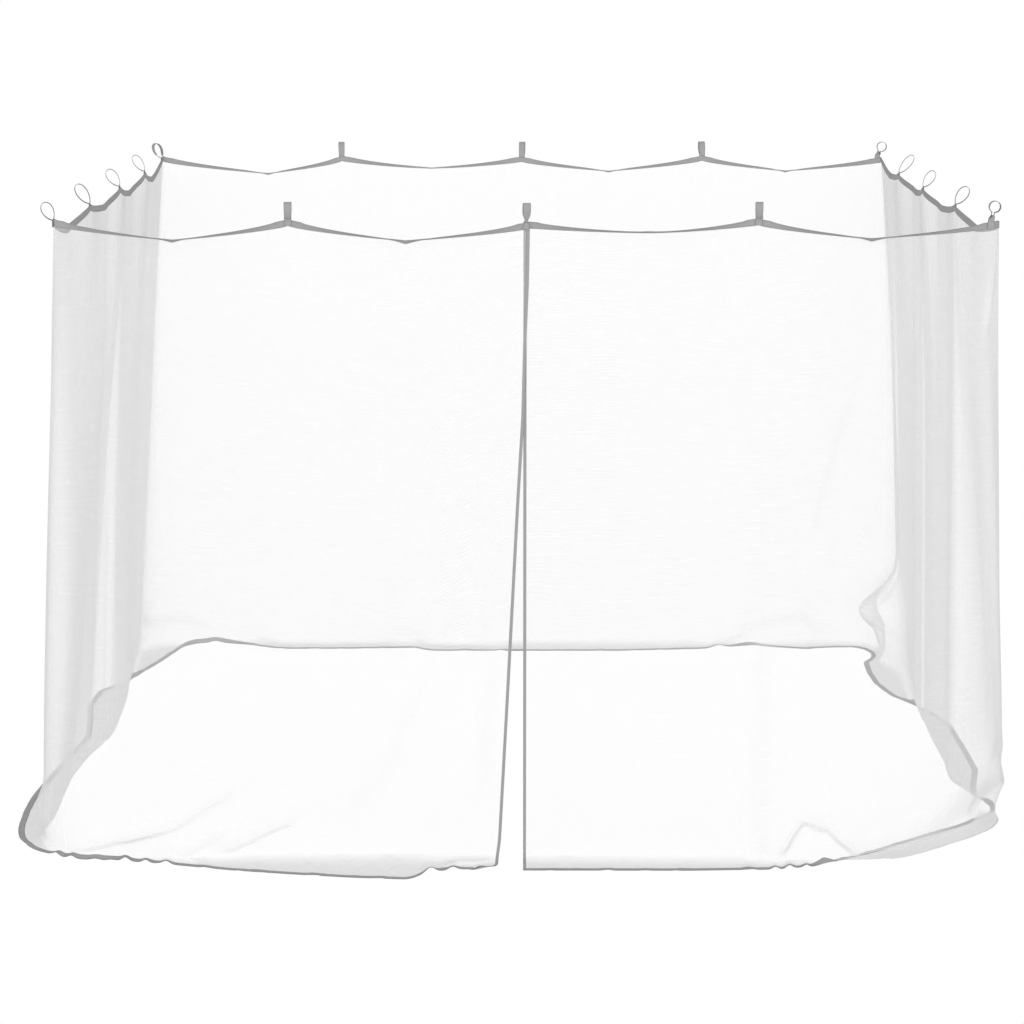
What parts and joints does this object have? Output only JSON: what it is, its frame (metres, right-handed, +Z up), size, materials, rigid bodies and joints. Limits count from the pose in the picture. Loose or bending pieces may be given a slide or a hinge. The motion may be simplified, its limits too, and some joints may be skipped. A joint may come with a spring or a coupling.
{
  "type": "mosquito net canopy",
  "caption": "Open-topped enclosure of four hanging walls of white mosquito net for a gazebo, with tape loops along the top and a parted front.",
  "frame": {"origin": "middle of the rectangle of rails that the loops hang on, at the height of the rails; the floor is at z = -2.15", "axes": "+Z up, -Y towards the front with the parted opening, +X to the right seen from the front"},
  "size_m": [3.4022, 3.3575, 2.1577],
  "materials": {
    "net": "sheer white polyester mesh, fine and even, matt",
    "tape": "grey woven tape, matt"
  },
  "bodies": {
    "root": {"binding_front_left": "tape", "binding_front_right": "tape", "heading_back": "tape", "heading_front_left": "tape", "heading_front_right": "tape", "heading_left": "tape", "heading_right": "tape", "hem_back": "tape", "hem_front_left": "tape", "hem_front_right": "tape", "hem_left": "tape", "hem_right": "tape", "loop_back_left_middle": "tape", "loop_back_middle": "tape", "loop_back_right_middle": "tape", "loop_corner_back_left": "tape", "loop_corner_back_right": "tape", "loop_corner_front_left": "tape", "loop_corner_front_right": "tape", "loop_front_left_middle": "tape", "loop_front_middle": "tape", "loop_front_right_middle": "tape", "loop_left_back": "tape", "loop_left_front": "tape", "loop_left_middle": "tape", "loop_right_back": "tape", "loop_right_front": "tape", "loop_right_middle": "tape", "net_back": "net", "net_front_left": "net", "net_front_right": "net", "net_left": "net", "net_right": "net"}
  },
  "joints": []
}
